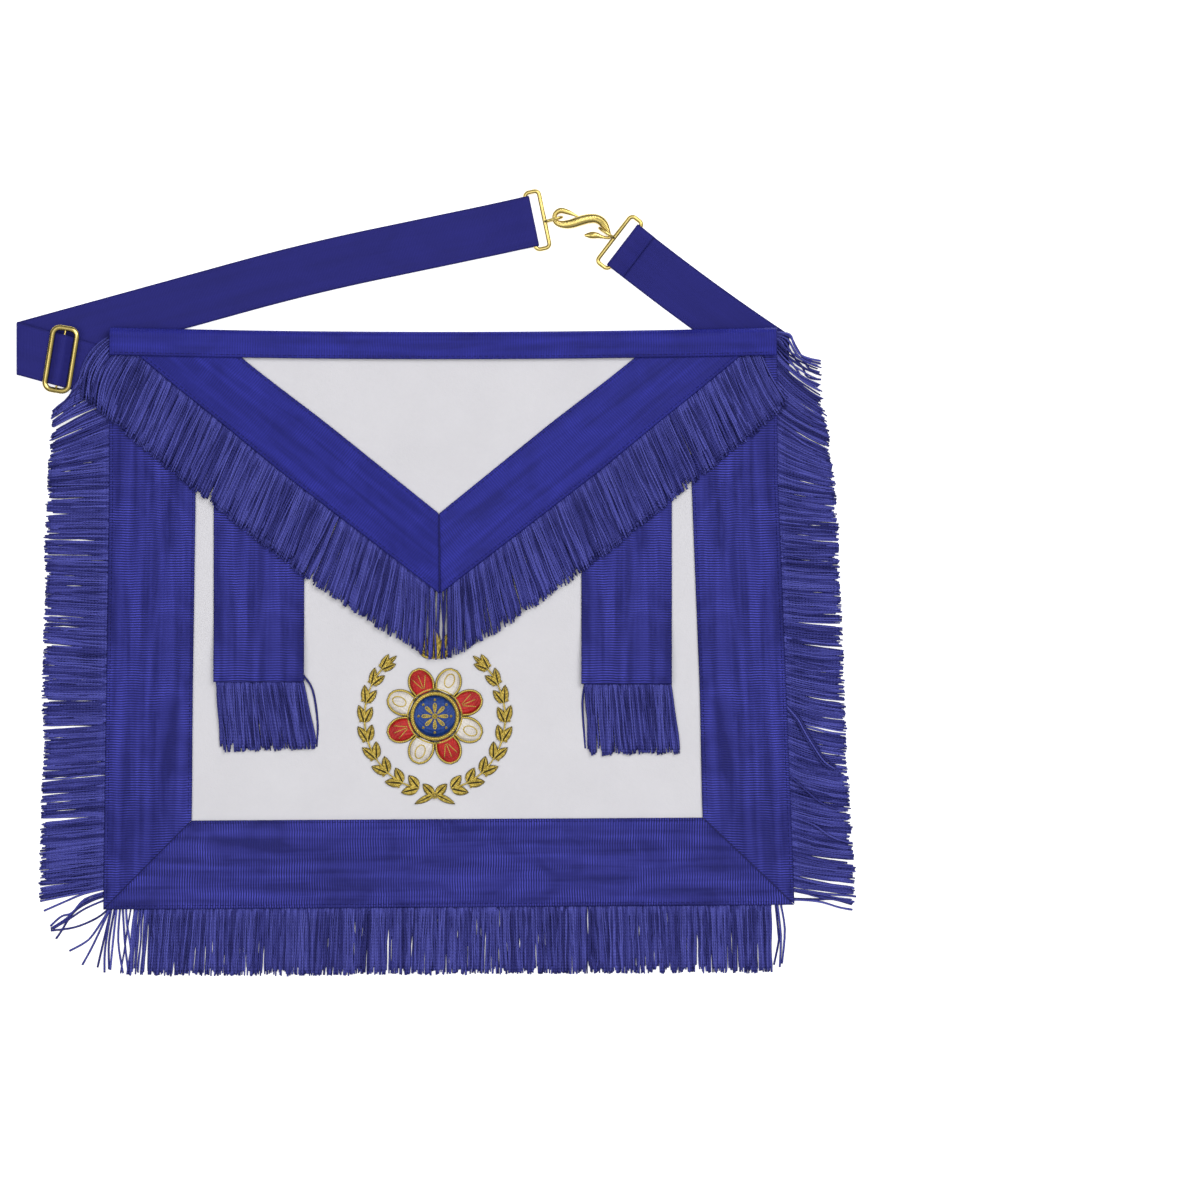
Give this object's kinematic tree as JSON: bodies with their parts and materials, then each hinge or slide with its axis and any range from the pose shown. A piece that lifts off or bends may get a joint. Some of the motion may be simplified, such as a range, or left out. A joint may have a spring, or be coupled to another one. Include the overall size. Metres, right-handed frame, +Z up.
{
  "type": "masonic apron",
  "caption": "White leather dress apron with royal blue ribbon borders, twisted fringes, a pointed flap, hanging tabs, a round emblem, and a belt with slider and serpent hook.",
  "frame": {"origin": "bottom centre of the box around the lying apron, on the surface it lies on", "axes": "+X to the right across the apron as it is seen from above, +Y towards the waist, +Z up out of the front"},
  "size_m": [0.4941, 0.4616, 0.0101],
  "materials": {
    "leather": "white lambskin, very fine grain, satin",
    "ribbon": "royal blue moire ribbon with fine crosswise ribs",
    "fringe": "twisted royal blue cords",
    "webbing": "dark blue grosgrain belt ribbon",
    "brass": "polished gold plate",
    "bullion": "gold bullion thread",
    "blue_thread": "blue satin stitch",
    "red_thread": "red satin stitch"
  },
  "bodies": {
    "root": {"belt_long": "webbing", "belt_short": "webbing", "body_panel": "leather", "emblem_bow": "bullion", "emblem_disc": "blue_thread", "emblem_finial": "bullion", "emblem_petals": "red_thread", "emblem_ring": "bullion", "emblem_wreath_left": "bullion", "emblem_wreath_right": "bullion", "flap_fringe_left": "fringe", "flap_fringe_right": "fringe", "flap_panel": "leather", "flap_ribbon_left": "ribbon", "flap_ribbon_right": "ribbon", "fringe_bottom": "fringe", "fringe_left": "fringe", "fringe_right": "fringe", "loop_left": "brass", "loop_right": "brass", "ribbon_bottom": "ribbon", "ribbon_left": "ribbon", "ribbon_right": "ribbon", "slider": "brass", "snake_hook": "brass", "tab_fringe_left": "fringe", "tab_fringe_right": "fringe", "tab_left": "ribbon", "tab_right": "ribbon", "waistband": "ribbon"}
  },
  "joints": []
}
